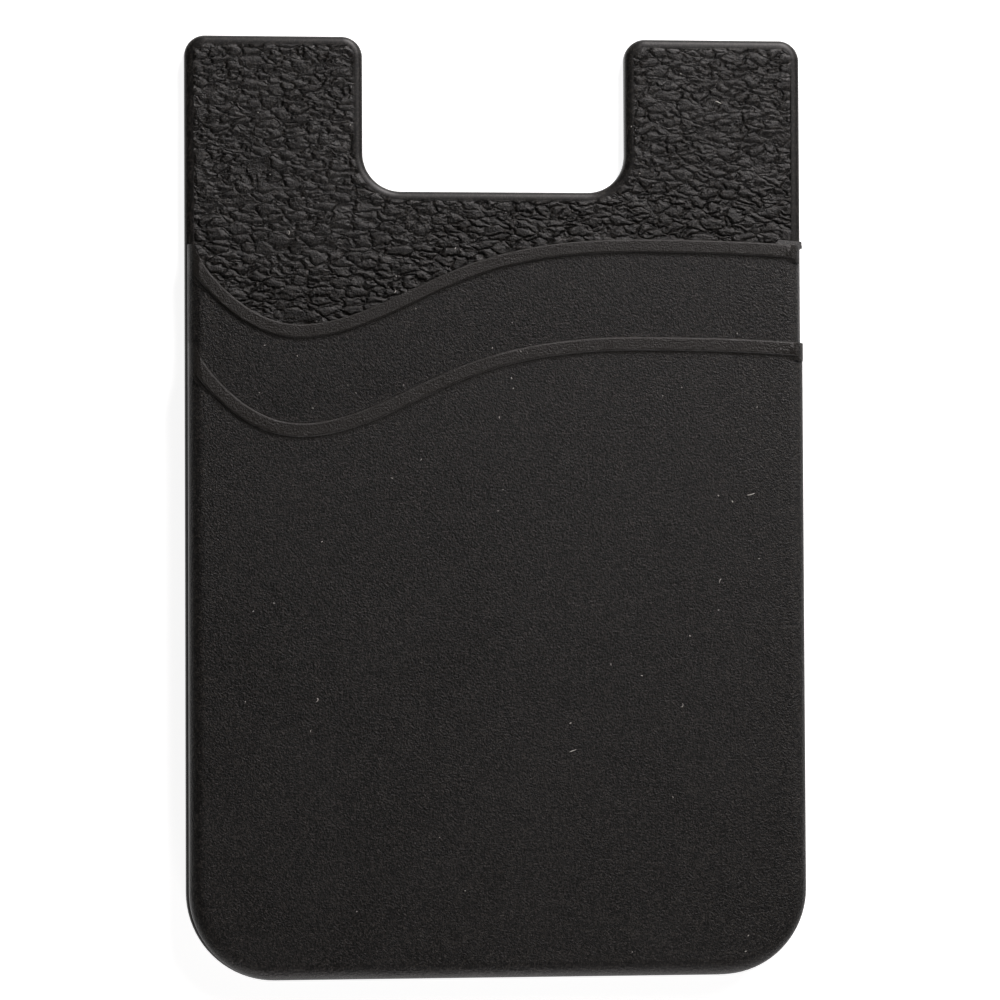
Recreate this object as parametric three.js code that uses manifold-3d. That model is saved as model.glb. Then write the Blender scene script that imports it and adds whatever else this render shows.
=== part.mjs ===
// Stick-on card holder for the back of a phone.
// One silicone moulding carries two card pockets, one stepped in front of the other. Each pocket's sheet ends
// at its mouth in a wave with a raised lip. An adhesive pad covers the flat back, under a peel-off liner.
// Millimetres, +Z up. The holder lies on its back: the pockets face up, the two ears point along +Y, and the
// origin is at the middle of the face that it lies on.
import * as THREE from "three";
import Module from "manifold-3d";
import { mergeVertices } from "three/addons/utils/BufferGeometryUtils.js";

// The bank card that each slot holds, with the play around it
const CARD_WIDTH = 54;
const CARD_LENGTH = 85.6;
const CARD_THICKNESS = 0.76;
const CARD_CORNER_RADIUS = 3.2;
const CARD_SIDE_PLAY = 0.3;
const CARD_THICKNESS_PLAY = 0.04;

// Solid edges around the slots, and how far the ears reach past the top of a card
const SIDE_WELD = 2.7;
const BOTTOM_WELD = 2.5;
const EAR_COVER = 2.9;

// Back plate, with the thumb notch between its two ears
const PLATE_THICKNESS = 1.3;
const PLATE_EDGE_RADIUS = 0.5;
const EAR_CORNER_RADIUS = 2;
const BOTTOM_CORNER_RADIUS = 8.5;
const NOTCH_WIDTH = 25.6;
const NOTCH_DEPTH = 15;
const NOTCH_FILLET_RADIUS = 3.7;

// Pocket sheets, and the narrow ledge of plate left outside them
const SHEET_THICKNESS = 0.7;
const SHOULDER_RADIUS = 0.9;
const LEDGE_WIDTH = 0.25;
const SLOT_EDGE_RADIUS = 0.2;
const POCKET_STEP = 9.6;

// Raised lip along each mouth, and the small sloped web outside the rear mouth's right end
const LIP_WIDTH = 1.3;
const LIP_HEIGHT = 0.3;
const LIP_EDGE_RADIUS = 0.2;
const WEB_WIDTH = 0.5;
const WEB_DROP = 0.45;
const WEB_FOOT = 0.2;

// The wave of a mouth: a steep fall from the left edge to a dip, then a rise to a long flat crest
const BRIDGE_HEIGHT = 4.7;
const DIP_DEPTH = 8.35;
const DIP_FROM_LEFT = 11;
const LEFT_RISE = 9.75;
const LEFT_SLOPE = -3.05;
const BEND_FROM_LEFT = 2.6;
const BEND_RISE = 4.64;
const BEND_SLOPE = -1.16;
const CREST_FROM_RIGHT = 16;
const CREST_FALL = 0.56;
const CREST_END_SLOPE = -0.083;
const RISE_SLOPE = 0.406;
const RISE_MIDDLE_RUN = 15;
const RISE_MIDDLE_HEIGHT = 5.35;

// Height above the dip at which a mouth's left end is cut off square
const LEFT_END_RISE = 7.7;

// Adhesive pad and its liner, both cut to the plate's outline and set in from its edge
const ADHESIVE_THICKNESS = 0.25;
const ADHESIVE_INSET = 1.5;
const LINER_THICKNESS = 0.1;
const LINER_INSET = 0.8;

// Fineness of the curves
const ARC_STEPS = 4;
const WAVE_STEPS = 56;
const EDGE_STEPS = 3;

// Room that helper shapes reach past what they cut, how far a mouth's curve runs on past the holder's sides, and
// the depth that joined shapes share
const REACH = 3;
const CURVE_OVERRUN = 1;
const BITE = 0.4;
const SAME_POINT = 1e-4;

const slotWidth = CARD_WIDTH + 2 * CARD_SIDE_PLAY;
const slotHeight = CARD_THICKNESS + CARD_THICKNESS_PLAY;
const halfWidth = slotWidth / 2 + SIDE_WELD;
const halfHeight = (BOTTOM_WELD + CARD_LENGTH + EAR_COVER) / 2;
const notchFloor = halfHeight - NOTCH_DEPTH;

const backZ = LINER_THICKNESS + ADHESIVE_THICKNESS;
const plateTopZ = backZ + PLATE_THICKNESS;
const upperSlotTopZ = plateTopZ + slotHeight;
const upperSheetTopZ = upperSlotTopZ + SHEET_THICKNESS;
const lowerSlotTopZ = upperSheetTopZ + slotHeight;
const lowerSheetTopZ = lowerSlotTopZ + SHEET_THICKNESS;

const crestY = notchFloor - BRIDGE_HEIGHT;
const dipX = DIP_FROM_LEFT - halfWidth;
const dipY = crestY - DIP_DEPTH;

const wasm = await Module();
wasm.setup();

// A closed surface as a solid that can be joined and cut.
function solidOf(geometry) {
  const bare = new THREE.BufferGeometry();
  bare.setAttribute("position", geometry.getAttribute("position"));
  bare.setIndex(geometry.getIndex());
  const merged = mergeVertices(bare, SAME_POINT);
  const surface = new wasm.Mesh({
    numProp: 3,
    vertProperties: merged.attributes.position.array,
    triVerts: new Uint32Array(merged.index.array),
  });
  return new wasm.Manifold(surface);
}

function geometryOf(solid) {
  const surface = solid.getMesh();
  const geometry = new THREE.BufferGeometry();
  geometry.setAttribute("position", new THREE.BufferAttribute(surface.vertProperties, 3));
  geometry.setIndex(new THREE.BufferAttribute(surface.triVerts, 1));
  const faceted = geometry.toNonIndexed();
  faceted.computeVertexNormals();
  return faceted;
}

// An outline of straight steps, with no point given twice.
function polygonOf(points) {
  const kept = points.filter((point, i) => {
    const next = points[(i + 1) % points.length];
    return point.distanceTo(next) > SAME_POINT;
  });
  return new THREE.Shape(kept);
}

// A straight-sided slab between two heights.
function slab(shape, lowZ, highZ) {
  const geometry = new THREE.ExtrudeGeometry(shape, { depth: highZ - lowZ, bevelEnabled: false });
  return solidOf(geometry.translate(0, 0, lowZ));
}

// A slab whose edges are rounded at both heights.
function easedSlab(shape, lowZ, highZ, radius) {
  const geometry = new THREE.ExtrudeGeometry(shape, {
    depth: highZ - lowZ - 2 * radius,
    bevelSize: radius,
    bevelOffset: -radius,
    bevelThickness: radius,
    bevelSegments: EDGE_STEPS,
  });
  return solidOf(geometry.translate(0, 0, lowZ + radius));
}

// A slab with a square lower edge and a rounded upper one.
function roundedSlab(shape, lowZ, highZ, radius) {
  const whole = easedSlab(shape, lowZ - 2 * radius, highZ, radius);
  return whole.trimByPlane([0, 0, 1], lowZ);
}

function rectangle(left, right, bottom, top) {
  return polygonOf([
    new THREE.Vector2(left, bottom),
    new THREE.Vector2(right, bottom),
    new THREE.Vector2(right, top),
    new THREE.Vector2(left, top),
  ]);
}

// The back plate's outline, set in from the edge all round: ears at the top, the thumb notch between them.
function plateOutline(inset) {
  const right = halfWidth - inset;
  const top = halfHeight - inset;
  const bottom = -top;
  const notch = NOTCH_WIDTH / 2 + inset;
  const floor = notchFloor - inset;
  const ear = EAR_CORNER_RADIUS - inset;
  const base = BOTTOM_CORNER_RADIUS - inset;
  const fillet = NOTCH_FILLET_RADIUS + inset;
  const path = new THREE.Path();
  path.absarc(right - base, bottom + base, base, -Math.PI / 2, 0, false);
  path.absarc(right - ear, top - ear, ear, 0, Math.PI / 2, false);
  path.absarc(notch + ear, top - ear, ear, Math.PI / 2, Math.PI, false);
  path.absarc(notch - fillet, floor + fillet, fillet, 0, -Math.PI / 2, true);
  path.absarc(fillet - notch, floor + fillet, fillet, -Math.PI / 2, -Math.PI, true);
  path.absarc(-notch - ear, top - ear, ear, 0, Math.PI / 2, false);
  path.absarc(ear - right, top - ear, ear, Math.PI / 2, Math.PI, false);
  path.absarc(base - right, bottom + base, base, Math.PI, 1.5 * Math.PI, false);
  return polygonOf(path.getPoints(ARC_STEPS));
}

// A panel with two round lower corners, open-ended at the top.
function panelOutline(half, bottom, top, radius) {
  const path = new THREE.Path();
  path.absarc(half - radius, bottom + radius, radius, -Math.PI / 2, 0, false);
  path.lineTo(half, top);
  path.lineTo(-half, top);
  path.absarc(radius - half, bottom + radius, radius, Math.PI, 1.5 * Math.PI, false);
  return polygonOf(path.getPoints(ARC_STEPS));
}

// A mouth's edge as a smooth curve through a few knots, each with its place and slope, lowered by drop.
class MouthWave extends THREE.Curve {
  constructor(drop) {
    super();
    this.knots = [
      { x: -halfWidth, y: dipY + LEFT_RISE, slope: LEFT_SLOPE },
      { x: BEND_FROM_LEFT - halfWidth, y: dipY + BEND_RISE, slope: BEND_SLOPE },
      { x: dipX, y: dipY, slope: 0 },
      { x: dipX + RISE_MIDDLE_RUN, y: dipY + RISE_MIDDLE_HEIGHT, slope: RISE_SLOPE },
      { x: halfWidth - CREST_FROM_RIGHT, y: crestY, slope: 0 },
      { x: halfWidth, y: crestY - CREST_FALL, slope: CREST_END_SLOPE },
    ];
    this.drop = drop;
  }

  heightAt(x) {
    const { knots } = this;
    const last = knots.length - 1;
    if (x <= knots[0].x) return knots[0].y + (x - knots[0].x) * knots[0].slope;
    if (x >= knots[last].x) return knots[last].y + (x - knots[last].x) * knots[last].slope;
    const after = knots.findIndex((knot) => knot.x > x);
    const a = knots[after - 1];
    const b = knots[after];
    const run = b.x - a.x;
    const t = (x - a.x) / run;
    const fromA = (1 + 2 * t) * (1 - t) ** 2 * a.y + t * (1 - t) ** 2 * run * a.slope;
    const fromB = t * t * (3 - 2 * t) * b.y + t * t * (t - 1) * run * b.slope;
    return fromA + fromB;
  }

  getPoint(t, target = new THREE.Vector3()) {
    const x = (2 * t - 1) * (halfWidth + CURVE_OVERRUN);
    return target.set(x, this.heightAt(x) - this.drop, 0);
  }

  // The wave's points, moved square to it: outwards, past the mouth, where distance is above 0.
  edge(distance) {
    return Array.from({ length: WAVE_STEPS + 1 }, (_, i) => {
      const u = i / WAVE_STEPS;
      const point = this.getPointAt(u);
      const along = this.getTangentAt(u);
      return new THREE.Vector2(point.x - along.y * distance, point.y + along.x * distance);
    });
  }

  // The strip that lies between two such edges.
  strip(outer, inner) {
    return polygonOf([...this.edge(inner), ...this.edge(outer).reverse()]);
  }

  // All that lies below such an edge.
  below(distance) {
    const points = this.edge(distance);
    const low = -halfHeight - REACH;
    const left = new THREE.Vector2(points[0].x, low);
    const right = new THREE.Vector2(points[WAVE_STEPS].x, low);
    return polygonOf([left, right, ...points.reverse()]);
  }
}

// A pocket's outline, set in from the plate's edge at its sides and bottom.
function pocketOutline(inset) {
  return panelOutline(halfWidth - inset, inset - halfHeight, halfHeight, BOTTOM_CORNER_RADIUS - inset);
}

// The hollow that a card slides into, open at the top.
function cardSlot(floorZ) {
  const bottom = BOTTOM_WELD - halfHeight;
  const outline = panelOutline(slotWidth / 2, bottom, halfHeight + REACH, CARD_CORNER_RADIUS);
  return easedSlab(outline, floorZ, floorZ + slotHeight, SLOT_EDGE_RADIUS);
}

// Everything in front of the plate that one pocket adds, before its slots are cut.
function pocketBody(wave, sheetTopZ) {
  const lowZ = plateTopZ - BITE;
  const lipTopZ = sheetTopZ + LIP_HEIGHT;
  const sheet = roundedSlab(pocketOutline(LEDGE_WIDTH), lowZ, sheetTopZ, SHOULDER_RADIUS)
    .intersect(slab(wave.below(-LIP_WIDTH / 2), lowZ - REACH, sheetTopZ + REACH));
  const lipStrip = wave.strip(0, -LIP_WIDTH);
  const lip = easedSlab(lipStrip, lowZ - 2 * LIP_EDGE_RADIUS, lipTopZ, LIP_EDGE_RADIUS)
    .intersect(roundedSlab(pocketOutline(LEDGE_WIDTH), lowZ, lipTopZ, SHOULDER_RADIUS));
  const endY = dipY - wave.drop + LEFT_END_RISE;
  const leftEnd = slab(rectangle(-halfWidth - REACH, dipX, endY, halfHeight), lowZ - REACH, lipTopZ + REACH);
  return sheet.add(lip).subtract(leftEnd);
}

// The web outside the rear mouth's right end: it slopes from the lip down to the plate and reaches the side.
function mouthWeb(wave) {
  const innerX = slotWidth / 2;
  const innerY = wave.heightAt(innerX);
  const outerY = wave.heightAt(halfWidth);
  const top = upperSheetTopZ + LIP_HEIGHT - WEB_DROP;
  const corners = [
    [innerX, innerY - LIP_WIDTH / 2, top],
    [innerX, innerY, top],
    [innerX + WEB_WIDTH, innerY + WEB_WIDTH, plateTopZ + WEB_FOOT],
    [halfWidth, outerY + WEB_WIDTH, plateTopZ + WEB_FOOT],
    [halfWidth, outerY, top],
    [halfWidth, outerY - LIP_WIDTH / 2, top],
  ];
  const feet = corners.map(([x, y]) => [x, y, plateTopZ - BITE]);
  return wasm.Manifold.hull([...corners, ...feet]);
}

// The moulding: plate, two stepped pockets, the web and the two slots.
function siliconeHolder() {
  const rearWave = new MouthWave(0);
  const frontWave = new MouthWave(POCKET_STEP);
  const plate = roundedSlab(plateOutline(0), backZ, plateTopZ, PLATE_EDGE_RADIUS);
  const rearSlot = cardSlot(plateTopZ);
  const frontSlot = cardSlot(upperSheetTopZ);
  const rearPocket = pocketBody(rearWave, upperSheetTopZ)
    .subtract(rearSlot);
  const frontPocket = pocketBody(frontWave, lowerSheetTopZ)
    .subtract(frontSlot)
    .subtract(rearSlot);
  return plate.add(rearPocket).add(frontPocket).add(mouthWeb(rearWave));
}

function addPiece(group, name, solid, look) {
  const mesh = new THREE.Mesh(geometryOf(solid), new THREE.MeshStandardMaterial(look));
  mesh.name = name;
  group.add(mesh);
}

const holder = new THREE.Group();
addPiece(holder, "silicone_holder", siliconeHolder(), { color: 0x232222, roughness: 0.62, metalness: 0 });
addPiece(holder, "adhesive_pad", slab(plateOutline(ADHESIVE_INSET), LINER_THICKNESS, backZ),
  { color: 0xe6e2d6, roughness: 0.35, metalness: 0 });
addPiece(holder, "release_liner", slab(plateOutline(LINER_INSET), 0, LINER_THICKNESS),
  { color: 0xf1ede2, roughness: 0.55, metalness: 0 });

export default holder;
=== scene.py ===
"""Looks of a stick-on card holder: a black silicone moulding with two stepped card pockets, its adhesive and liner."""
import math
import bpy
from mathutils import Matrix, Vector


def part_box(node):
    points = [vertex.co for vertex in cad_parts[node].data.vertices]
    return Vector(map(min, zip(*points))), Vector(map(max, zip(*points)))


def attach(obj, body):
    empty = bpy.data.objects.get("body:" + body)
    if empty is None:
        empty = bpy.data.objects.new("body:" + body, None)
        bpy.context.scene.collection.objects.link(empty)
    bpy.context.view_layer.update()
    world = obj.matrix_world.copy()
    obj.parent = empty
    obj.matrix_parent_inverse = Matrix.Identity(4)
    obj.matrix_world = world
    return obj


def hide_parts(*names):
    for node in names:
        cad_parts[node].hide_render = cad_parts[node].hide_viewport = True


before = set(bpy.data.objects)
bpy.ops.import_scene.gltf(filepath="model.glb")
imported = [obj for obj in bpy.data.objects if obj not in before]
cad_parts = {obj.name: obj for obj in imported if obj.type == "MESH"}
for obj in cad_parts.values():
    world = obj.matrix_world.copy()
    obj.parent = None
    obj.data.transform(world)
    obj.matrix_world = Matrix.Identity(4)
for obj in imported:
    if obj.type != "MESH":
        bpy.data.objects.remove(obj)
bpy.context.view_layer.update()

from types import SimpleNamespace

import bpy
import numpy as np
from bpy.props import FloatProperty, FloatVectorProperty, IntProperty, PointerProperty
from mathutils import Matrix, Vector
from mathutils.bvhtree import BVHTree
from mathutils.geometry import delaunay_2d_cdt

bl_info = {
    "name": "Stick-on card holder",
    "version": (1, 0, 0),
    "blender": (4, 5, 0),
    "location": "3D View > Sidebar > Card holder",
    "description": "Builds the silicone moulding, the adhesive pad, the liner, the lint and the stage",
    "category": "Object",
}

MM = 1e-3

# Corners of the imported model's pieces, in metres, and what follows from them, in millimetres
HOLDER_LOW, HOLDER_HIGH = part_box("silicone_holder")
PAD_LOW, PAD_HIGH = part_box("adhesive_pad")
LINER_LOW, LINER_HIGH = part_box("release_liner")
HALF_WIDTH = HOLDER_HIGH[0] / MM
HALF_HEIGHT = HOLDER_HIGH[1] / MM
BACK_Z = HOLDER_LOW[2] / MM
FRONT_Z = HOLDER_HIGH[2] / MM

# How finely curves are divided
ARC_STEPS = 20
EDGE_STEPS = 6
WAVE_STEPS = 220
WAVE_SAMPLES = 4001

# Helper lengths in millimetres
REACH = 3.0  # how far a cutting solid runs on past what it cuts
BITE = 0.5  # how deep a pocket is sunk into the plate before the two are joined
NEARLY = 0.02  # heights closer than this count as the same
COARSE = 3.0  # distance between the plate's points under the pockets


def length(name, description, millimetres):
    """A property that holds a length, given in millimetres and kept in metres."""
    return FloatProperty(name=name, description=description, default=millimetres * MM, min=0.0,
                         precision=5, unit="LENGTH")


def colour(name, description, hex_code):
    """A property that holds a colour, given as an sRGB hex value."""
    return FloatVectorProperty(name=name, description=description, default=linear(hex_code), size=3,
                               min=0.0, max=1.0, subtype="COLOR")


def linear(hex_code):
    """An sRGB hex value as linear red, green and blue."""
    parts = [int(hex_code[i:i + 2], 16) / 255 for i in (1, 3, 5)]
    return tuple(c / 12.92 if c <= 0.04045 else ((c + 0.055) / 1.055) ** 2.4 for c in parts)


class CARDHOLDER_PG_moulding(bpy.types.PropertyGroup):
    """Sizes of the silicone moulding."""
    plate: length("Plate", "Thickness of the back plate", 1.3)
    plate_edge: length("Plate edge", "Radius of the plate's front edge", 0.5)
    plate_ease: length("Plate ease", "How far that rounding reaches in along the face", 0.8)
    ear_corner: length("Ear corner", "Radius of the ears' corners", 2.0)
    bottom_corner: length("Bottom corner", "Radius of the two lower corners", 8.5)
    notch_width: length("Notch width", "Width of the thumb notch", 25.6)
    notch_depth: length("Notch depth", "Depth of the thumb notch", 15.0)
    notch_fillet: length("Notch fillet", "Radius of the notch's inner corners", 3.7)
    sheet: length("Sheet", "Thickness of a pocket's sheet", 0.7)
    slot_height: length("Slot height", "Gap that a card slides into", 0.8)
    slot_width: length("Slot width", "Width of the gap that a card slides into", 54.6)
    slot_corner: length("Slot corner", "Radius of the slot's two lower corners", 3.2)
    slot_edge: length("Slot edge", "Radius along the slot's edges", 0.2)
    bottom_weld: length("Bottom weld", "Solid strip under the slots", 2.5)
    ledge: length("Ledge", "Strip of plate left outside the pockets", 0.25)
    shoulder: length("Shoulder", "Radius of the pockets' outer edge", 0.9)
    shoulder_ease: length("Shoulder ease", "How far that rounding reaches in along the face", 1.5)
    step: length("Pocket step", "How far the front pocket's mouth lies below the other", 9.6)
    lip_width: length("Lip width", "Width of the raised lip", 1.3)
    lip_height: length("Lip height", "How far the lip stands above its sheet", 0.3)
    lip_edge: length("Lip edge", "Radius of the lip's edges", 0.2)
    lip_foot: length("Lip foot", "Reach of the slope from the lip's lower side down to the sheet", 0.42)
    web: length("Web", "Width of the sloped web outside the rear mouth's right end", 0.5)
    web_drop: length("Web drop", "How far the web's top stays below the lip's", 1.0)
    web_foot: length("Web foot", "Height that is left at the web's outer edge", 0.5)
    bridge: length("Bridge", "Plate left between the notch and the upper mouth's crest", 4.7)
    dip: length("Dip", "Depth of the wave below its crest", 8.35)
    left_end: length("Left end", "Height above the dip at which a mouth's left end is cut off square", 7.7)


class CARDHOLDER_PG_grain(bpy.types.PropertyGroup):
    """The leather grain on the back plate."""
    cell_length: length("Cell length", "Length of a leather cell, across the holder", 1.65)
    cell_height: length("Cell height", "Height of a leather cell, along the holder", 0.86)
    depth: length("Crease depth", "Depth of the creases between the cells", 0.15)
    border: length("Smooth border", "Strip along the plate's edge that stays smooth", 0.85)
    spacing: length("Mesh spacing", "Distance between the points that carry the grain", 0.14)
    seed: IntProperty(name="Seed", description="Which of the possible grain patterns is drawn", default=7)


class CARDHOLDER_PG_finish(bpy.types.PropertyGroup):
    """Colours and gloss."""
    silicone: colour("Silicone", "Colour of the black silicone", "#090807")
    roughness: FloatProperty(name="Roughness", description="Roughness of the silicone", default=0.42,
                             min=0.0, max=1.0, subtype="FACTOR")
    adhesive: colour("Adhesive", "Colour of the adhesive film", "#DAD3BE")
    liner: colour("Liner", "Colour of the liner's paper", "#EEE8D8")


class CARDHOLDER_PG_lint(bpy.types.PropertyGroup):
    """The dust that lies on the holder."""
    tint: colour("Lint", "Colour of the specks and short fibres", "#C9C6C0")
    count: IntProperty(name="Count", description="How many specks and fibres there are", default=64, min=1)
    thickness: length("Thickness", "Thickness of a fibre", 0.07)
    longest: length("Longest fibre", "Length of the longest fibre", 0.75)
    seed: IntProperty(name="Seed", description="Which of the possible scatters is drawn", default=4)


class CARDHOLDER_PG_stage(bpy.types.PropertyGroup):
    """Camera, floor and light."""
    distance: length("Camera distance", "From the camera to the holder", 400.0)
    yaw: FloatProperty(name="Yaw", description="How far the camera stands to the left",
                       default=math.radians(5.96), subtype="ANGLE")
    pitch: FloatProperty(name="Pitch", description="How far the camera stands towards the ears",
                         default=math.radians(-1.79), subtype="ANGLE")
    roll: FloatProperty(name="Roll", description="Turn of the camera about its own axis",
                        default=math.radians(-0.267), subtype="ANGLE")
    view_width: length("View width", "Width that the camera sees at the holder", 96.66)
    aim_x: length("Aim across", "Point that the camera looks at, to the right of the middle", 0.34)
    aim_y: length("Aim along", "Point that the camera looks at, above the middle", 0.58)
    aim_z: length("Aim height", "Point that the camera looks at, above the floor", 2.0)
    floor: colour("Floor", "Colour of the floor", "#D6D6D6")
    glow: FloatProperty(name="Glow", description="How strongly the floor shines by itself", default=0.88, min=0.0)


def in_mm(settings):
    """A group's lengths in millimetres."""
    return SimpleNamespace(**{name: getattr(settings, name) / MM for name in settings.__annotations__
                              if isinstance(getattr(settings, name), float)})


def arc(centre_x, centre_y, radius, start, end, steps=ARC_STEPS):
    """Points along an arc, angles in quarter turns."""
    angles = np.linspace(start, end, steps + 1) * math.pi / 2
    return np.column_stack([centre_x + radius * np.cos(angles), centre_y + radius * np.sin(angles)])


def plate_outline(size, inset=0.0):
    """The plate's outline, set in all round: two ears at the top with the thumb notch between them."""
    right = HALF_WIDTH - inset
    top = HALF_HEIGHT - inset
    notch = size.notch_width / 2 + inset
    floor = HALF_HEIGHT - size.notch_depth - inset
    ear = size.ear_corner - inset
    base = size.bottom_corner - inset
    fillet = size.notch_fillet + inset
    return np.vstack([
        arc(right - base, base - top, base, -1, 0),
        arc(right - ear, top - ear, ear, 0, 1),
        arc(notch + ear, top - ear, ear, 1, 2),
        arc(notch - fillet, floor + fillet, fillet, 0, -1),
        arc(fillet - notch, floor + fillet, fillet, -1, -2),
        arc(-notch - ear, top - ear, ear, 0, 1),
        arc(ear - right, top - ear, ear, 1, 2),
        arc(base - right, base - top, base, 2, 3),
    ])


def panel_outline(half, bottom, top, radius, inset=0.0):
    """A panel with two round lower corners, set in all round but for its top."""
    half -= inset
    bottom += inset
    radius = max(radius - inset, 0.05)
    corners = np.array([[half, top], [-half, top]])
    return np.vstack([
        arc(half - radius, bottom + radius, radius, -1, 0),
        corners,
        arc(radius - half, bottom + radius, radius, 2, 3),
    ])


class Wave:
    """A mouth's edge: a steep fall from the left, a dip, then a rise to a long flat crest."""

    def __init__(self, size, drop):
        crest = HALF_HEIGHT - size.notch_depth - size.bridge
        dip = crest - size.dip
        dip_x = 11.0 - HALF_WIDTH
        # Each knot is a place across, a height and the edge's slope there.
        self.knots = [
            (-HALF_WIDTH, dip + 9.75, -3.05),
            (2.6 - HALF_WIDTH, dip + 4.64, -1.16),
            (dip_x, dip, 0.0),
            (dip_x + 15.0, dip + 5.35, 0.406),
            (HALF_WIDTH - 16.0, crest, 0.0),
            (HALF_WIDTH, crest - 0.56, -0.083),
        ]
        self.dip_x, self.dip_y = dip_x, dip - drop
        self.drop = drop
        overrun, nudge = 1.0, 1e-4
        dense_x = np.linspace(-HALF_WIDTH - overrun, HALF_WIDTH + overrun, WAVE_SAMPLES)
        dense_y = self.height(dense_x)
        along = np.concatenate([[0], np.cumsum(np.hypot(np.diff(dense_x), np.diff(dense_y)))])
        self.x = np.interp(np.linspace(0, along[-1], WAVE_STEPS + 1), along, dense_x)
        self.y = self.height(self.x)
        slope = (self.height(self.x + nudge) - self.height(self.x - nudge)) / (2 * nudge)
        root = np.hypot(1, slope)
        self.out = np.column_stack([-slope / root, 1 / root])

    def height(self, x):
        """The edge's height at x, a cubic between each two knots and straight outside them."""
        (first_x, first_y, first_slope), (last_x, last_y, last_slope) = self.knots[0], self.knots[-1]
        y = np.where(x < first_x, first_y + (x - first_x) * first_slope, last_y + (x - last_x) * last_slope)
        for (ax, ay, a_slope), (bx, by, b_slope) in zip(self.knots[:-1], self.knots[1:]):
            between = (x >= ax) & (x <= bx)
            run = bx - ax
            t = (x - ax) / run
            cubic = ((1 + 2 * t) * (1 - t) ** 2 * ay + t * (1 - t) ** 2 * run * a_slope
                     + t * t * (3 - 2 * t) * by + t * t * (t - 1) * run * b_slope)
            y = np.where(between, cubic, y)
        return y - self.drop

    def edge(self, distance):
        """The wave's points moved square to it, outwards where distance is above 0."""
        return np.column_stack([self.x, self.y]) + self.out * distance

    def strip(self, outer, inner):
        """The outline of a strip that follows the wave between two distances from it."""
        return np.vstack([self.edge(inner), self.edge(outer)[::-1]])

    def below(self, distance):
        """The outline of all that lies below the wave moved by a distance."""
        points = self.edge(distance)
        low = -HALF_HEIGHT - REACH
        return np.vstack([[points[0][0], low], [points[-1][0], low], points[::-1]])


def new_object(name, verts, faces):
    """An object made of points in millimetres."""
    mesh = bpy.data.meshes.new(name)
    mesh.from_pydata([tuple(v) for v in verts], [], faces)
    mesh.update()
    piece = bpy.data.objects.new(name, mesh)
    bpy.context.scene.collection.objects.link(piece)
    return piece


def band(low, high):
    """Four-cornered faces between two rings, each given as the numbers of its points."""
    return [[a, b, d, c] for a, b, c, d in zip(low, low[1:] + low[:1], high, high[1:] + high[:1])]


def stack(rings):
    """The points of rings given as (points, height), one ring after the other."""
    return np.vstack([np.column_stack([points, np.full(len(points), z)]) for points, z in rings])


def loft(name, rings):
    """A closed solid through rings of equal count, each given as (points, height), from low to high."""
    count = len(rings[0][0])
    numbers = [list(range(ring * count, (ring + 1) * count)) for ring in range(len(rings))]
    faces = [numbers[0][::-1], numbers[-1]]
    for low, high in zip(numbers[:-1], numbers[1:]):
        faces += band(low, high)
    return new_object(name, stack(rings), faces)


def slab(name, outline, low, high):
    """A solid with the same outline from its lower to its upper side."""
    return loft(name, [(outline, low), (outline, high)])


def eased(radius, reach=None):
    """Insets and drops along a quarter round, from the wall to the face; reach stretches it along the face."""
    angles = np.linspace(0, math.pi / 2, EDGE_STEPS + 1)
    return [((reach or radius) * (1 - math.cos(a)), radius * (1 - math.sin(a))) for a in angles]


def rounded_slab(name, outline_at, low, high, radius, reach=None):
    """A slab with a square lower edge and a rounded upper one; outline_at gives the outline at an inset."""
    rings = [(outline_at(0.0), low)]
    rings += [(outline_at(inset), high - drop) for inset, drop in eased(radius, reach)]
    return loft(name, rings)


def bake(piece):
    """Makes what a piece's modifiers do its plain mesh, and takes them off."""
    bpy.context.view_layer.update()
    seen = piece.evaluated_get(bpy.context.evaluated_depsgraph_get())
    result = bpy.data.meshes.new_from_object(seen)
    piece.modifiers.clear()
    piece.data = result


def combine(base, tool, operation):
    """Joins, cuts or intersects two closed solids; the tool is used up."""
    modifier = base.modifiers.new("combine", "BOOLEAN")
    modifier.operation = operation
    modifier.solver = "MANIFOLD"
    modifier.object = tool
    bake(base)
    bpy.data.objects.remove(tool)
    return base


def distance_to(points, loop):
    """Each point's distance to a closed line."""
    ends = np.roll(loop, -1, axis=0)
    nearest = np.full(len(points), np.inf)
    for a, b in zip(loop, ends):
        span = b - a
        share = np.clip((points - a) @ span / max(span @ span, 1e-12), 0, 1)
        gap = np.hypot(*(points - a - share[:, None] * span).T)
        nearest = np.minimum(nearest, gap)
    return nearest


def inside(points, loop):
    """Whether each point lies inside a closed line."""
    ends = np.roll(loop, -1, axis=0)
    odd = np.zeros(len(points), dtype=bool)
    for a, b in zip(loop, ends):
        crosses = (a[1] > points[:, 1]) != (b[1] > points[:, 1])
        if a[1] == b[1]:
            continue
        at = a[0] + (points[:, 1] - a[1]) / (b[1] - a[1]) * (b[0] - a[0])
        odd ^= crosses & (points[:, 0] < at)
    return odd


def lattice(low, high, spacing):
    """Points of a triangle lattice over a box."""
    rows = np.arange(low[1], high[1], spacing * math.sqrt(3) / 2)
    columns = np.arange(low[0], high[0], spacing)
    x, y = np.meshgrid(columns, rows)
    x = x + (np.arange(len(rows)) % 2)[:, None] * spacing / 2
    return np.column_stack([x.ravel(), y.ravel()])


def smooth_step(value, low, high):
    """0 up to low, 1 from high on, and a smooth rise between them."""
    t = np.clip((value - low) / (high - low), 0, 1)
    return t * t * (3 - 2 * t)


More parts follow.
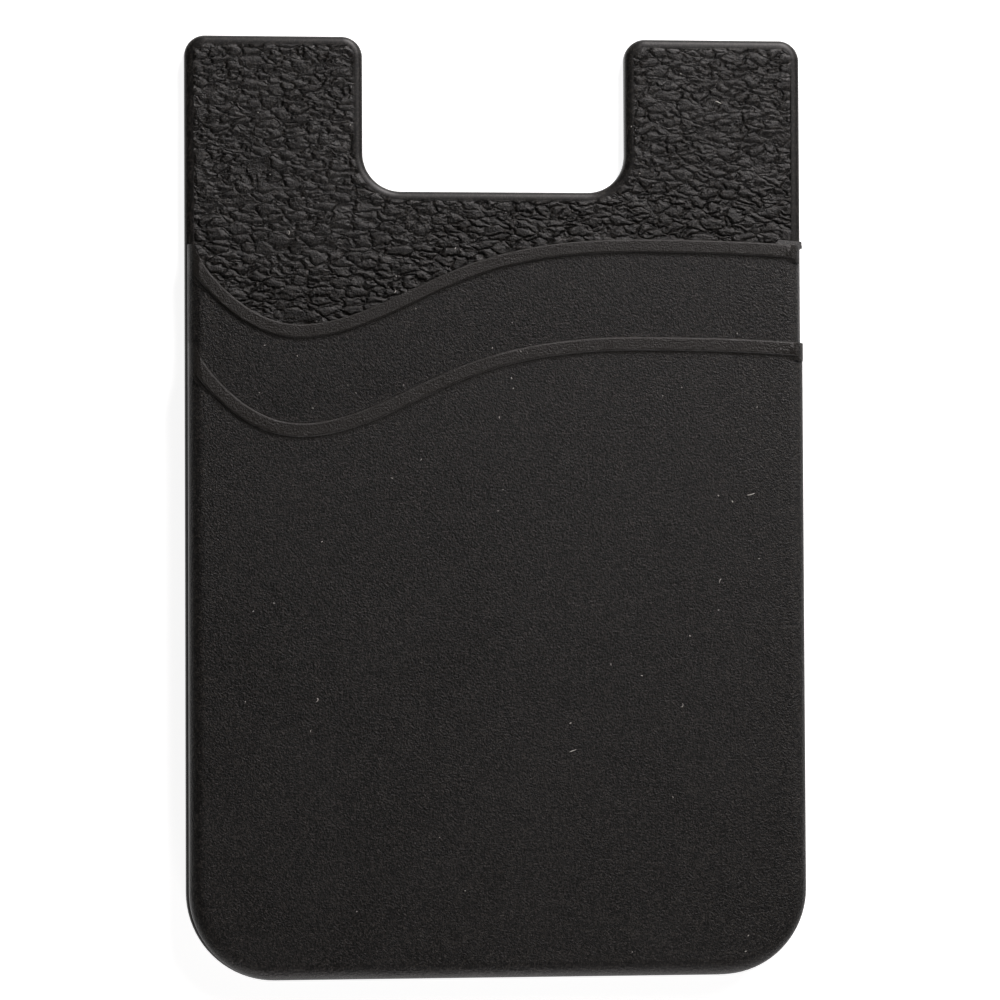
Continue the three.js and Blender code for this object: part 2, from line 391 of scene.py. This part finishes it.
def face_points(size, grain, wave, rim):
    """The points of the plate's face: its rim, a fine lattice for the grain and a coarse one under the pockets."""
    corners = (-HALF_WIDTH, -HALF_HEIGHT), (HALF_WIDTH, HALF_HEIGHT)
    grain_overrun, coarse_gap, coarse_border = 2.5, 5.0, 2.0
    fine = lattice(*corners, grain.spacing)
    fine = fine[fine[:, 1] > wave.height(fine[:, 0]) - grain_overrun]
    fine = fine[inside(fine, plate_outline(size, size.plate_ease + grain.spacing * 0.7))]
    coarse = lattice(*corners, COARSE)
    coarse = coarse[inside(coarse, wave.below(-coarse_gap)) & inside(coarse, plate_outline(size, coarse_border))]
    return np.vstack([rim, fine, coarse])


def grain_weight(size, grain, wave, points):
    """How strongly the grain shows at each point: not on the smooth border, nor under the pockets."""
    mouth = wave.height(points[:, 0])
    border = smooth_step(distance_to(points, plate_outline(size)), size.plate_ease * 0.9, grain.border + 0.4)
    uncovered = smooth_step(points[:, 1], mouth - 2.2, mouth - 1.0)
    return border * uncovered


def plate_solid(size, grain, wave, top_z):
    """The back plate as a closed solid, with a fine face where the grain shows and its weight on each point."""
    rings = [(plate_outline(size), BACK_Z)]
    rings += [(plate_outline(size, inset), top_z - drop) for inset, drop in eased(size.plate_edge, size.plate_ease)]
    rim = rings.pop()[0]
    count = len(rim)
    flat = [Vector(point) for point in face_points(size, grain, wave, rim)]
    loop = [(i, (i + 1) % count) for i in range(count)]
    keep_inner, touching = 1, 1e-6
    face_verts, _, face_tris, sources, *_ = delaunay_2d_cdt(flat, loop, [], keep_inner, touching)
    base = len(rings) * count
    on_rim = {source[0]: base + index for index, source in enumerate(sources) if source}
    numbers = [list(range(ring * count, (ring + 1) * count)) for ring in range(len(rings))]
    numbers.append([on_rim[i] for i in range(count)])
    faces = [numbers[0][::-1]]
    for low, high in zip(numbers[:-1], numbers[1:]):
        faces += band(low, high)
    faces += [[base + i for i in tri] for tri in face_tris]
    verts = stack(rings + [(np.array(face_verts), top_z)])
    plate = new_object("silicone_moulding", verts, faces)
    on_face = verts[:, 2] > top_z - 1e-4
    mark(plate, "grain", grain_weight(size, grain, wave, verts[:, :2]) * on_face)
    return plate


def mark(piece, name, values):
    """Gives each point of a piece a number."""
    held = piece.data.attributes.new(name, "FLOAT", "POINT")
    held.data.foreach_set("value", values)


def faces_below(piece, height):
    """For each face of a piece, 1 where its middle lies below a height, else 0."""
    middles = np.empty(len(piece.data.polygons) * 3)
    piece.data.polygons.foreach_get("center", middles)
    return (middles[2::3] < height).astype(np.int32)


def on_lip(piece, size, *mouths):
    """Which points of a piece lie on a raised lip, given each mouth's wave and its sheet's height."""
    points = np.empty(len(piece.data.vertices) * 3)
    piece.data.vertices.foreach_get("co", points)
    points = points.reshape(-1, 3)
    found = np.zeros(len(points))
    slack, steepest = 0.01, 2.5
    for wave, sheet_top in mouths:
        # Where the wave is steep, the lip reaches further down than its width.
        fall = wave.height(points[:, 0]) - points[:, 1]
        near = (fall > -slack) & (fall < size.lip_width * steepest)
        high = np.abs(points[:, 2] - sheet_top - size.lip_height) < size.lip_edge + slack
        found = np.maximum(found, near & high)
    return found


def add_node(tree, kind, settings=None, inputs=None):
    """Adds a node: settings name its properties; inputs give each socket, by name or in order, a value or a source."""
    node = tree.nodes.new(kind)
    for name, value in (settings or {}).items():
        setattr(node, name, value)
    for key, value in inputs.items() if isinstance(inputs, dict) else enumerate(inputs or []):
        if isinstance(value, bpy.types.NodeSocket):
            tree.links.new(value, node.inputs[key])
        elif value is not None:
            node.inputs[key].default_value = value
    return node


def leather_height(tree, place, cell, seed):
    """Nodes for the leather's height, near 0 in the creases and near 1 on the cells, from a place in millimetres."""
    flat = add_node(tree, "ShaderNodeVectorMath", {"operation": "MULTIPLY"}, [place, (1, 1, 0)]).outputs[0]
    scaled = add_node(tree, "ShaderNodeVectorMath", {"operation": "DIVIDE"}, [flat, cell]).outputs[0]
    seeded = add_node(tree, "ShaderNodeVectorMath", {"operation": "ADD"}, [scaled, seed]).outputs[0]
    # Creases wander by about half a cell.
    noise = add_node(tree, "ShaderNodeTexNoise", None,
                     {"Vector": seeded, "Scale": 0.9, "Detail": 2.0, "Roughness": 0.62}).outputs["Color"]
    centred = add_node(tree, "ShaderNodeVectorMath", {"operation": "SUBTRACT"}, [noise, (0.5, 0.5, 0.5)]).outputs[0]
    wander = add_node(tree, "ShaderNodeVectorMath", {"operation": "MULTIPLY_ADD"},
                      [centred, (1.3, 1.9, 0), seeded]).outputs[0]
    gap = add_node(tree, "ShaderNodeTexVoronoi", {"feature": "DISTANCE_TO_EDGE"},
                   {"Vector": wander, "Scale": 1.0}).outputs["Distance"]
    level = add_node(tree, "ShaderNodeTexVoronoi", None, {"Vector": wander, "Scale": 1.0}).outputs["Color"]
    # A crease is a narrow cut between rounded cells; here and there it closes up.
    closing = add_node(tree, "ShaderNodeTexNoise", None, {"Vector": seeded, "Scale": 0.55, "Detail": 1.0}).outputs[0]
    narrow = add_node(tree, "ShaderNodeMapRange", {"interpolation_type": "SMOOTHSTEP"},
                      [gap, 0.01, 0.12, 0.0, 1.0]).outputs[0]
    held = add_node(tree, "ShaderNodeMapRange", None, [closing, 0.40, 0.62, 1.0, 0.25]).outputs[0]
    cut = add_node(tree, "ShaderNodeMath", {"operation": "SUBTRACT"}, [1.0, narrow]).outputs[0]
    cut = add_node(tree, "ShaderNodeMath", {"operation": "MULTIPLY"}, [cut, held]).outputs[0]
    round_off = add_node(tree, "ShaderNodeMapRange", {"interpolation_type": "SMOOTHERSTEP"},
                         [gap, 0.0, 0.34, 0.0, 1.0]).outputs[0]
    # Each cell stands a little higher or lower than its neighbours.
    step = add_node(tree, "ShaderNodeMath", {"operation": "MULTIPLY"}, [level, 0.22]).outputs[0]
    fine = add_node(tree, "ShaderNodeTexNoise", None,
                    {"Vector": wander, "Scale": 3.2, "Detail": 2.0, "Roughness": 0.6}).outputs[0]
    height = add_node(tree, "ShaderNodeMath", {"operation": "MULTIPLY_ADD"}, [round_off, 0.22, step]).outputs[0]
    height = add_node(tree, "ShaderNodeMath", {"operation": "MULTIPLY_ADD"}, [fine, 0.14, height]).outputs[0]
    return add_node(tree, "ShaderNodeMath", {"operation": "MULTIPLY_ADD"}, [cut, -0.55, height]).outputs[0]


def grain_tree():
    """Nodes that press leather creases into a face, as deep as each point's weight says."""
    tree = bpy.data.node_groups.new("leather_grain", "GeometryNodeTree")
    face = tree.interface
    face.new_socket("Geometry", in_out="INPUT", socket_type="NodeSocketGeometry")
    for name in ("Cell length", "Cell height", "Crease depth", "Seed"):
        face.new_socket(name, in_out="INPUT", socket_type="NodeSocketFloat")
    face.new_socket("Material", in_out="INPUT", socket_type="NodeSocketMaterial")
    face.new_socket("Geometry", in_out="OUTPUT", socket_type="NodeSocketGeometry")
    given = add_node(tree, "NodeGroupInput").outputs
    place = add_node(tree, "GeometryNodeInputPosition").outputs[0]
    cell = add_node(tree, "ShaderNodeCombineXYZ", None, [given["Cell length"], given["Cell height"], 1.0]).outputs[0]
    seed = add_node(tree, "ShaderNodeCombineXYZ", None, [0.0, 0.0, given["Seed"]]).outputs[0]
    height = leather_height(tree, place, cell, seed)
    sunk = add_node(tree, "ShaderNodeMath", {"operation": "SUBTRACT"}, [height, 0.51]).outputs[0]
    sunk = add_node(tree, "ShaderNodeMath", {"operation": "MINIMUM"}, [sunk, 0.0]).outputs[0]
    weight = add_node(tree, "GeometryNodeInputNamedAttribute", {"data_type": "FLOAT"}, {"Name": "grain"}).outputs[0]
    drop = add_node(tree, "ShaderNodeMath", {"operation": "MULTIPLY"}, [sunk, weight]).outputs[0]
    drop = add_node(tree, "ShaderNodeMath", {"operation": "MULTIPLY"}, [drop, given["Crease depth"]]).outputs[0]
    offset = add_node(tree, "ShaderNodeCombineXYZ", None, {"Z": drop}).outputs[0]
    pressed = add_node(tree, "GeometryNodeSetPosition", None, {"Geometry": given["Geometry"], "Offset": offset})
    real = add_node(tree, "GeometryNodeRealizeInstances", None, [pressed.outputs[0]])
    painted = add_node(tree, "GeometryNodeSetMaterial", None,
                       {"Geometry": real.outputs[0], "Material": given["Material"]})
    add_node(tree, "NodeGroupOutput", None, [painted.outputs[0]])
    return tree


def run_nodes(piece, tree, values):
    """Runs a node tree on a piece and keeps the result as its plain mesh."""
    modifier = piece.modifiers.new(tree.name, "NODES")
    modifier.node_group = tree
    for item in tree.interface.items_tree:
        if item.in_out == "INPUT" and item.name in values:
            modifier[item.identifier] = values[item.name]
    bake(piece)


def pocket_body(size, wave, sheet_top, plate_top):
    """All that one pocket adds in front of the plate, before its slots are cut."""
    low = plate_top - BITE
    lip_top = sheet_top + size.lip_height

    def outline_at(inset):
        return panel_outline(HALF_WIDTH, -HALF_HEIGHT, HALF_HEIGHT, size.bottom_corner, size.ledge + inset)

    sheet = rounded_slab("sheet", outline_at, low, sheet_top, size.shoulder, size.shoulder_ease)
    combine(sheet, slab("cut", wave.below(-size.lip_width / 2), low - REACH, sheet_top + REACH), "INTERSECT")
    foot = wave.strip(0, -size.lip_width - size.lip_foot)
    rings = [(foot, low), (foot, sheet_top)]
    rings += [(wave.strip(-inset, inset - size.lip_width), lip_top - drop) for inset, drop in eased(size.lip_edge)]
    lip = loft("lip", rings)
    combine(lip, rounded_slab("cut", outline_at, low - REACH, lip_top, size.shoulder, size.shoulder_ease),
            "INTERSECT")
    combine(sheet, lip, "UNION")
    left, end_y = -HALF_WIDTH - REACH, wave.dip_y + size.left_end
    corner = np.array([(left, end_y), (wave.dip_x, end_y), (wave.dip_x, HALF_HEIGHT), (left, HALF_HEIGHT)])
    return combine(sheet, slab("cut", corner, low - REACH, lip_top + REACH), "DIFFERENCE")


def mouth_web(size, wave, lip_top, plate_top):
    """The web outside the rear mouth's right end, sloping from the lip down to the plate."""
    inner = size.slot_width / 2
    inner_y, outer_y = wave.height(np.array([inner, HALF_WIDTH]))
    plan = np.array([
        (inner, inner_y - size.lip_width / 2),
        (HALF_WIDTH, outer_y - size.lip_edge),
        (HALF_WIDTH, outer_y),
        (HALF_WIDTH, outer_y + size.web),
        (inner + size.web, inner_y + size.web),
        (inner, inner_y),
    ])
    top = lip_top - size.web_drop
    foot = plate_top + size.web_foot
    heights = np.array([top, top, top, foot, foot, top])
    return loft("web", [(plan, plate_top - BITE), (plan, heights)])


def card_slot(size, low, floor, high):
    """The hollow for a card, with its upper edges rounded; it also clears what lies between low and floor. The floor
    argument is not used.
    """
    bottom = size.bottom_weld - HALF_HEIGHT

    def outline_at(inset):
        return panel_outline(size.slot_width / 2, bottom, HALF_HEIGHT + REACH, size.slot_corner, inset)

    return rounded_slab("slot", outline_at, low, high, size.slot_edge)


def blend(tree, factor, low, high, first, second):
    """Nodes that go from the first colour to the second while factor goes from low to high."""
    share = add_node(tree, "ShaderNodeMapRange", None, [factor, low, high, 0.0, 1.0]).outputs[0]
    return add_node(tree, "ShaderNodeMix", {"data_type": "RGBA"}, {0: share, 6: first, 7: second}).outputs[2]


def shade(base, gain):
    """A base colour made lighter or darker, as red, green, blue and alpha."""
    return (*[min(1.0, c * gain) for c in base], 1.0)


def new_material(name):
    """An empty material with its shader, and the place on the piece in millimetres."""
    material = bpy.data.materials.new(name)
    material.use_nodes = True
    tree = material.node_tree
    place = add_node(tree, "ShaderNodeTexCoord").outputs["Object"]
    place = add_node(tree, "ShaderNodeVectorMath", {"operation": "MULTIPLY"}, [place, (1000, 1000, 1000)]).outputs[0]
    return material, tree, tree.nodes["Principled BSDF"], place


def spark_silicone(finish, leather=None):
    """Black silicone rubber from a spark-eroded steel mould: a dry, finely pitted skin that scatters light into a
    grey bloom, helped by painted glints: one facet in five gets a much lighter colour that stands in for catching the
    light;
    the lips come out a little drier, so they look lighter. With leather given, as a cell's size and a
    seed, the skin also has the mould's leather grain: dark creases with lit upper edges."""
    material, tree, shader, place = new_material("black_silicone_leather" if leather else "black_silicone_spark")
    # Pits of the spark finish, 0.2 mm across.
    pits = add_node(tree, "ShaderNodeTexNoise", None,
                    {"Vector": place, "Scale": 5.2, "Detail": 2.0, "Roughness": 0.8}).outputs[0]
    # Uneven filling leaves patches of slightly drier skin, 8 mm across.
    cloud = add_node(tree, "ShaderNodeTexNoise", None, {"Vector": place, "Scale": 0.12, "Detail": 3.0}).outputs[0]
    base = finish.silicone
    # Facets between the pits, 0.13 mm across: about one in five gets a painted glint, a much lighter colour that stands
    # in for a facet turned to catch the light.
    painted_glint_cells = add_node(tree, "ShaderNodeTexVoronoi", None, {"Vector": place, "Scale": 7.5}).outputs["Color"]
    skin = blend(tree, painted_glint_cells, 0.52, 0.80, shade(base, 0.8), shade(base, 8.5))
    lip = add_node(tree, "ShaderNodeAttribute", {"attribute_name": "lip"}).outputs["Fac"]
    dry = add_node(tree, "ShaderNodeMix", {"data_type": "RGBA"}, {0: lip, 6: skin, 7: shade(base, 5.2)}).outputs[2]
    # Specks of dust caught in the pits, under 0.1 mm, about one in each 2 mm.
    spots = add_node(tree, "ShaderNodeTexVoronoi", None, {"Vector": place, "Scale": 0.55}).outputs["Distance"]
    dusty = blend(tree, spots, 0.05, 0.02, dry, shade(base, 20.0))
    tree.links.new(dusty, shader.inputs["Base Color"])
    rough = add_node(tree, "ShaderNodeMapRange", None,
                     [cloud, 0.3, 0.7, finish.roughness - 0.04, finish.roughness + 0.05]).outputs[0]
    # Thumbs and cards have polished the lips a little.
    rough = add_node(tree, "ShaderNodeMath", {"operation": "MULTIPLY_ADD"}, [lip, -0.09, rough]).outputs[0]
    pitted = add_node(tree, "ShaderNodeBump", None, {"Strength": 1.0, "Distance": 0.09 * MM, "Height": pits})
    if leather:
        weight = add_node(tree, "ShaderNodeAttribute", {"attribute_name": "grain"}).outputs["Fac"]
        creases = leather_height(tree, place, *leather)
        creases = add_node(tree, "ShaderNodeMath", {"operation": "MULTIPLY"}, [creases, weight]).outputs[0]
        pressed = add_node(tree, "ShaderNodeBump", None, {"Strength": 1.0, "Distance": 0.16 * MM, "Height": creases})
        tree.links.new(pressed.outputs[0], pitted.inputs["Normal"])
        # The plate's border has neither creases nor pits, so it shines a little.
        rough = add_node(tree, "ShaderNodeMapRange", None, [weight, 0.0, 0.6, 0.42, finish.roughness - 0.04]).outputs[0]
        pits = add_node(tree, "ShaderNodeMath", {"operation": "MULTIPLY"}, [pits, weight]).outputs[0]
        tree.links.new(pits, pitted.inputs["Height"])
    tree.links.new(rough, shader.inputs["Roughness"])
    tree.links.new(pitted.outputs[0], shader.inputs["Normal"])
    shader.inputs["IOR"].default_value = 1.41
    return material


def acrylic_adhesive(finish):
    """Double-sided acrylic adhesive film: a cloudy, slightly glossy pale sheet with faint trapped air."""
    material, tree, shader, place = new_material("acrylic_adhesive_film")
    # Air trapped under the film: bubbles up to 0.4 mm, 1.4 mm apart.
    air = add_node(tree, "ShaderNodeTexVoronoi", None, {"Vector": place, "Scale": 0.7}).outputs["Distance"]
    cloud = add_node(tree, "ShaderNodeTexNoise", None, {"Vector": place, "Scale": 0.2, "Detail": 2.0}).outputs[0]
    film = blend(tree, cloud, 0.35, 0.65, shade(finish.adhesive, 0.9), shade(finish.adhesive, 1.0))
    bubbly = blend(tree, air, 0.14, 0.10, film, shade(finish.adhesive, 1.15))
    tree.links.new(bubbly, shader.inputs["Base Color"])
    bump = add_node(tree, "ShaderNodeBump", None, {"Strength": 0.4, "Distance": 0.03 * MM, "Height": air}).outputs[0]
    tree.links.new(bump, shader.inputs["Normal"])
    shader.inputs["Roughness"].default_value = 0.28
    return material


def coated_paper(finish):
    """Silicone-coated release paper: a warm white sheet with short fibres under a faint sheen."""
    material, tree, shader, place = new_material("coated_release_paper")
    # Paper fibres lie mostly along the web: 0.3 mm across and about 0.9 mm long.
    along = add_node(tree, "ShaderNodeVectorMath", {"operation": "MULTIPLY"}, [place, (3.3, 1.1, 3.3)]).outputs[0]
    fibres = add_node(tree, "ShaderNodeTexNoise", None,
                      {"Vector": along, "Scale": 1.0, "Detail": 4.0, "Roughness": 0.7}).outputs[0]
    sheet = blend(tree, fibres, 0.35, 0.65, shade(finish.liner, 0.86), shade(finish.liner, 1.0))
    tree.links.new(sheet, shader.inputs["Base Color"])
    bump = add_node(tree, "ShaderNodeBump", None, {"Strength": 0.5, "Distance": 0.03 * MM, "Height": fibres}).outputs[0]
    tree.links.new(bump, shader.inputs["Normal"])
    shader.inputs["Roughness"].default_value = 0.42
    return material


def cotton_lint(tint):
    """Cotton lint and dust: matt off-white fibres, a little darker where they are dirty."""
    material, tree, shader, place = new_material("cotton_lint")
    # Dirt along a fibre changes its tone every 0.4 mm.
    dirt = add_node(tree, "ShaderNodeTexNoise", None, {"Vector": place, "Scale": 2.5, "Detail": 1.0}).outputs[0]
    tree.links.new(blend(tree, dirt, 0.35, 0.65, shade(tint, 0.6), shade(tint, 1.0)), shader.inputs["Base Color"])
    shader.inputs["Roughness"].default_value = 0.9
    return material


def pale_floor(stage):
    """Backlit white acrylic table: it glows a little, so that hardly any shadow shows around the piece."""
    material, _, shader, _ = new_material("lit_table")
    shader.inputs["Base Color"].default_value = (*stage.floor, 1)
    shader.inputs["Roughness"].default_value = 0.9
    shader.inputs["Emission Color"].default_value = (1, 1, 1, 1)
    shader.inputs["Emission Strength"].default_value = stage.glow
    return material


def finish_piece(piece, slot_name, nodes, sharp_angle=48):
    """Puts a piece in metres, smooths it but for its real edges, and ties it to the frame."""
    piece.data.transform(Matrix.Scale(MM, 4))
    piece.data.shade_smooth()
    piece.data.set_sharp_from_angle(angle=math.radians(sharp_angle))
    even = piece.modifiers.new("even", "WEIGHTED_NORMAL")
    even.keep_sharp = True
    bake(piece)
    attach(piece, "root")
    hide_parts(*nodes)


class CARDHOLDER_OT_moulding(bpy.types.Operator):
    """Builds the silicone moulding: plate, leather grain, two pockets with their lips, and the slots"""
    bl_idname = "cardholder.moulding"
    bl_label = "Silicone moulding"

    def execute(self, context):
        size = in_mm(context.scene.cardholder_moulding)
        settings = context.scene.cardholder_grain
        grain = in_mm(settings)
        upper_wave = Wave(size, 0.0)
        lower_wave = Wave(size, size.step)
        plate_top = BACK_Z + size.plate
        upper_top = plate_top + size.slot_height + size.sheet
        lower_top = upper_top + size.slot_height + size.sheet
        if abs(lower_top + size.lip_height - FRONT_Z) > NEARLY:
            raise RuntimeError("the moulding's heights don't add up to the packed model's")
        cell = (grain.cell_length, grain.cell_height, 1.0)
        finish = context.scene.cardholder_finish
        skin = spark_silicone(finish)
        leather = spark_silicone(finish, (cell, (0.0, 0.0, float(settings.seed))))
        plate = plate_solid(size, grain, upper_wave, plate_top)
        run_nodes(plate, grain_tree(), {
            "Cell length": grain.cell_length,
            "Cell height": grain.cell_height,
            "Crease depth": grain.depth,
            "Seed": float(settings.seed),
            "Material": skin,
        })
        upper = pocket_body(size, upper_wave, upper_top, plate_top)
        combine(upper, card_slot(size, plate_top - REACH, plate_top, plate_top + size.slot_height), "DIFFERENCE")
        lower = pocket_body(size, lower_wave, lower_top, plate_top)
        combine(lower, card_slot(size, upper_top - size.sheet / 2, upper_top, upper_top + size.slot_height),
                "DIFFERENCE")
        combine(lower, card_slot(size, plate_top - REACH, plate_top, plate_top + size.slot_height), "DIFFERENCE")
        combine(plate, upper, "UNION")
        combine(plate, lower, "UNION")
        combine(plate, mouth_web(size, upper_wave, upper_top + size.lip_height, plate_top), "UNION")
        mark(plate, "lip", on_lip(plate, size, (upper_wave, upper_top), (lower_wave, lower_top)))
        plate.data.materials.clear()
        plate.data.materials.append(skin)
        plate.data.materials.append(leather)
        plate.data.polygons.foreach_set("material_index", faces_below(plate, plate_top + NEARLY))
        finish_piece(plate, "black_silicone", ["silicone_holder"])
        return {"FINISHED"}


class CARDHOLDER_OT_backing(bpy.types.Operator):
    """Builds the adhesive pad and the liner behind the moulding"""
    bl_idname = "cardholder.backing"
    bl_label = "Adhesive and liner"

    def execute(self, context):
        size = in_mm(context.scene.cardholder_moulding)
        finish = context.scene.cardholder_finish
        for name, node, low, high, material, slot_name in (
                ("adhesive_film", "adhesive_pad", PAD_LOW, PAD_HIGH, acrylic_adhesive(finish), "acrylic_adhesive"),
                ("release_sheet", "release_liner", LINER_LOW, LINER_HIGH, coated_paper(finish), "liner_paper")):
            outline = plate_outline(size, HALF_WIDTH - high[0] / MM)
            piece = slab(name, outline, low[2] / MM, high[2] / MM)
            piece.data.materials.append(material)
            finish_piece(piece, slot_name, [node], 30)
        return {"FINISHED"}


def tube(path, radius):
    """The points and faces of a closed tube, thinner at both ends, along a path of (x, y, z, heading)."""
    sides = 5
    verts = []
    for number, (x, y, z, heading) in enumerate(path):
        girth = radius * (0.5 if number in (0, len(path) - 1) else 1.0)
        across = heading + math.pi / 2
        for side in range(sides):
            around = 2 * math.pi * side / sides
            out = girth * math.cos(around)
            verts.append((x + out * math.cos(across), y + out * math.sin(across), z + girth * math.sin(around)))
    rings = [list(range(ring * sides, (ring + 1) * sides)) for ring in range(len(path))]
    faces = [face for low, high in zip(rings[:-1], rings[1:]) for face in band(low, high)]
    return verts, faces + [rings[0][::-1], rings[-1]]


def lint_path(skin, middle, span, heading, turn, radius):
    """A curved path that lies on the skin, or None where the skin drops away under it."""
    steps, cliff, above = 6, 0.35, 0.02
    path = []
    for step in range(steps):
        along = step / (steps - 1) - 0.5
        angle = heading + turn * along
        x, y = middle + span * along * np.array((math.cos(angle), math.sin(angle)))
        hit = skin.ray_cast(Vector((x * MM, y * MM, above)), Vector((0, 0, -1)))[0]
        if hit is None:
            return None
        path.append((x, y, hit.z / MM + radius / 2, angle))
    heights = [z for _, _, z, _ in path]
    return path if max(heights) - min(heights) <= cliff else None


class CARDHOLDER_OT_lint(bpy.types.Operator):
    """Scatters short pale fibres and specks over the moulding's front"""
    bl_idname = "cardholder.lint"
    bl_label = "Lint"

    def execute(self, context):
        lint = context.scene.cardholder_lint
        context.view_layer.update()
        skin = BVHTree.FromObject(bpy.data.objects["silicone_moulding"], context.evaluated_depsgraph_get())
        chance = np.random.default_rng(lint.seed)
        reach = np.array((0.92 * HALF_WIDTH, 0.95 * HALF_HEIGHT))
        longest, fibre_every = lint.longest / MM, 9
        verts, faces = [], []
        for number in range(lint.count):
            middle = chance.uniform(-reach, reach)
            # Most are specks; the others are fibres.
            fibre = number % fibre_every == 0
            span = chance.uniform(0.5, 1.0) * longest if fibre else chance.uniform(0.10, 0.22)
            heading, turn = chance.uniform(0, math.pi), chance.uniform(-1.5, 1.5)
            radius = lint.thickness / MM / 2 * chance.uniform(0.8, 1.3)
            path = lint_path(skin, middle, span, heading, turn, radius)
            if path is None:
                continue
            tube_verts, tube_faces = tube(path, radius)
            faces += [[len(verts) + i for i in face] for face in tube_faces]
            verts += tube_verts
        piece = new_object("lint", verts, faces)
        piece.data.transform(Matrix.Scale(MM, 4))
        piece.data.shade_smooth()
        piece.data.materials.append(cotton_lint(lint.tint))
        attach(piece, "root")
        return {"FINISHED"}


class CARDHOLDER_OT_stage(bpy.types.Operator):
    """Sets the floor, the soft light and the camera"""
    bl_idname = "cardholder.stage"
    bl_label = "Stage"

    def execute(self, context):
        stage = context.scene.cardholder_stage
        half = 1.5  # metres
        corners = [(-half, -half, 0), (half, -half, 0), (half, half, 0), (-half, half, 0)]
        floor = new_object("floor", corners, [[0, 1, 2, 3]])
        floor.data.materials.append(pale_floor(stage))
        world = bpy.data.worlds.new("studio")
        world.use_nodes = True
        world.node_tree.nodes["Background"].inputs["Color"].default_value = (1, 1, 1, 1)
        world.node_tree.nodes["Background"].inputs["Strength"].default_value = 0.02
        context.scene.world = world
        context.scene.view_settings.view_transform = "Standard"
        # Each lamp has its place and width in metres, and its power in watts.
        self.lamp("key", (0.18, 0.20, 0.26), 0.16, 0.62)
        self.lamp("rear", (0.24, 0.58, 0.36), 0.22, 4.4)
        self.lamp("front", (0.05, -0.62, 0.15), 0.30, 1.9)
        self.camera(context, stage)
        return {"FINISHED"}

    def lamp(self, name, place, width, power):
        """A square, slightly warm lamp that faces the holder."""
        light = bpy.data.lights.new(name, "AREA")
        light.shape = "SQUARE"
        light.size = width
        light.energy = power
        light.color = (1.0, 0.955, 0.955)
        lamp = bpy.data.objects.new(name, light)
        lamp.location = place
        lamp.rotation_euler = Vector(place).to_track_quat("Z", "Y").to_euler()
        bpy.context.scene.collection.objects.link(lamp)

    def camera(self, context, stage):
        """The camera that sees the holder as the photo does."""
        back = Vector((-math.sin(stage.yaw) * math.cos(stage.pitch), math.sin(stage.pitch),
                       math.cos(stage.yaw) * math.cos(stage.pitch)))
        right = Vector((0, 1, 0)).cross(back).normalized()
        up = back.cross(right)
        turned_right = right * math.cos(stage.roll) + up * math.sin(stage.roll)
        turned_up = up * math.cos(stage.roll) - right * math.sin(stage.roll)
        data = bpy.data.cameras.new("photo_camera")
        data.sensor_fit = "HORIZONTAL"
        data.lens = data.sensor_width * stage.distance / stage.view_width
        data.clip_start = 0.01
        camera = bpy.data.objects.new("photo_camera", data)
        place = Vector((stage.aim_x, stage.aim_y, stage.aim_z)) + back * stage.distance
        camera.matrix_world = Matrix((
            (turned_right.x, turned_up.x, back.x, place.x),
            (turned_right.y, turned_up.y, back.y, place.y),
            (turned_right.z, turned_up.z, back.z, place.z),
            (0, 0, 0, 1)))
        context.scene.collection.objects.link(camera)
        context.scene.camera = camera


class CARDHOLDER_PT_sidebar(bpy.types.Panel):
    """Lists the holder's pieces"""
    bl_idname = "CARDHOLDER_PT_sidebar"
    bl_label = "Card holder"
    bl_space_type = "VIEW_3D"
    bl_region_type = "UI"
    bl_category = "Card holder"

    def draw(self, context):
        for operator in OPERATORS:
            self.layout.operator(operator.bl_idname)


GROUPS = {
    "cardholder_moulding": CARDHOLDER_PG_moulding,
    "cardholder_grain": CARDHOLDER_PG_grain,
    "cardholder_finish": CARDHOLDER_PG_finish,
    "cardholder_lint": CARDHOLDER_PG_lint,
    "cardholder_stage": CARDHOLDER_PG_stage,
}
OPERATORS = (CARDHOLDER_OT_stage, CARDHOLDER_OT_moulding, CARDHOLDER_OT_backing, CARDHOLDER_OT_lint)


def register():
    for group in GROUPS.values():
        bpy.utils.register_class(group)
    for operator in OPERATORS:
        bpy.utils.register_class(operator)
    bpy.utils.register_class(CARDHOLDER_PT_sidebar)
    for name, group in GROUPS.items():
        setattr(bpy.types.Scene, name, PointerProperty(type=group))


def unregister():
    for name in GROUPS:
        delattr(bpy.types.Scene, name)
    bpy.utils.unregister_class(CARDHOLDER_PT_sidebar)
    for operator in reversed(OPERATORS):
        bpy.utils.unregister_class(operator)
    for group in reversed(list(GROUPS.values())):
        bpy.utils.unregister_class(group)


def main():
    register()
    bpy.ops.cardholder.stage()
    bpy.ops.cardholder.moulding()
    bpy.ops.cardholder.backing()
    bpy.ops.cardholder.lint()


if __name__ == "__main__":
    main()
